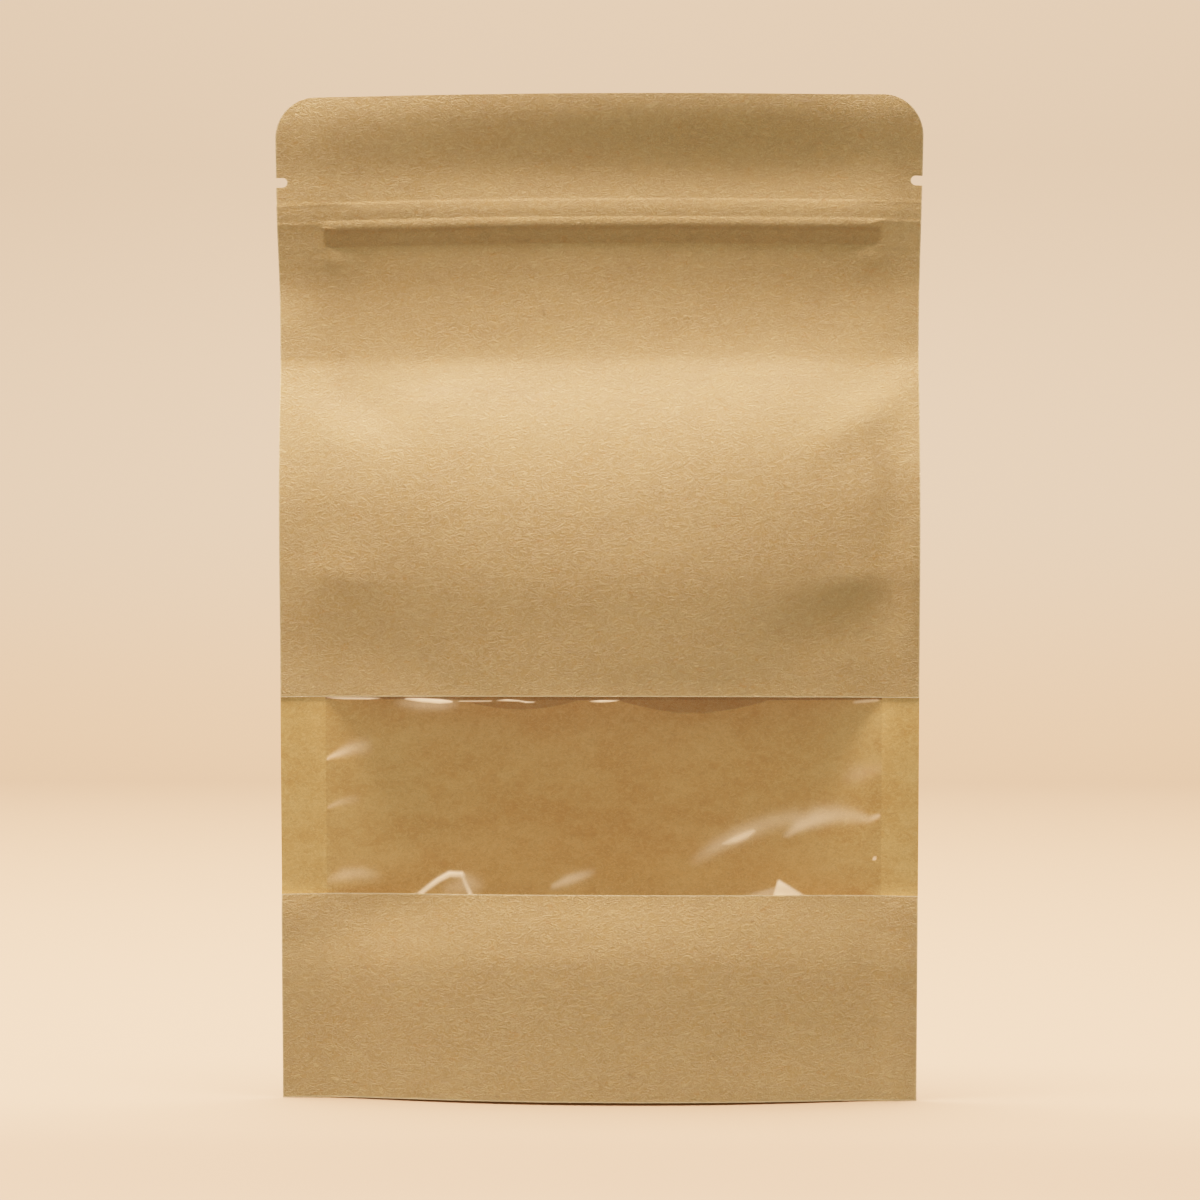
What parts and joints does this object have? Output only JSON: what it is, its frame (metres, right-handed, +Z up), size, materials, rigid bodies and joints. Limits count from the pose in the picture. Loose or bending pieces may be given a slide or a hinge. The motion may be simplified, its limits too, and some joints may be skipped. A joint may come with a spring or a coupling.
{
  "type": "stand-up pouch",
  "caption": "Kraft paper stand-up pouch with a clear window band, press-to-close zip, tear notches, rounded top corners and a bottom gusset, empty and shut.",
  "frame": {"origin": "centre of the bounding box at its base, on the surface the pouch stands on", "axes": "+Z up along the pouch's height, +X to the right seen from the front, the front with the window looks along -Y"},
  "size_m": [0.14, 0.0254, 0.2154],
  "materials": {
    "kraft_outside": "matte brown kraft with fine wavy fibre relief and faint flecks",
    "kraft_back": "matte brown kraft outside, smoother and warmer where it is laminated inside",
    "clear_film": "clear glossy film with soft creases"
  },
  "bodies": {
    "root": {"upper_front_panel": "kraft_outside", "lower_front_panel": "kraft_outside", "window_film": "clear_film", "back_panel": "kraft_back", "bottom_gusset": "kraft_back"}
  },
  "joints": []
}
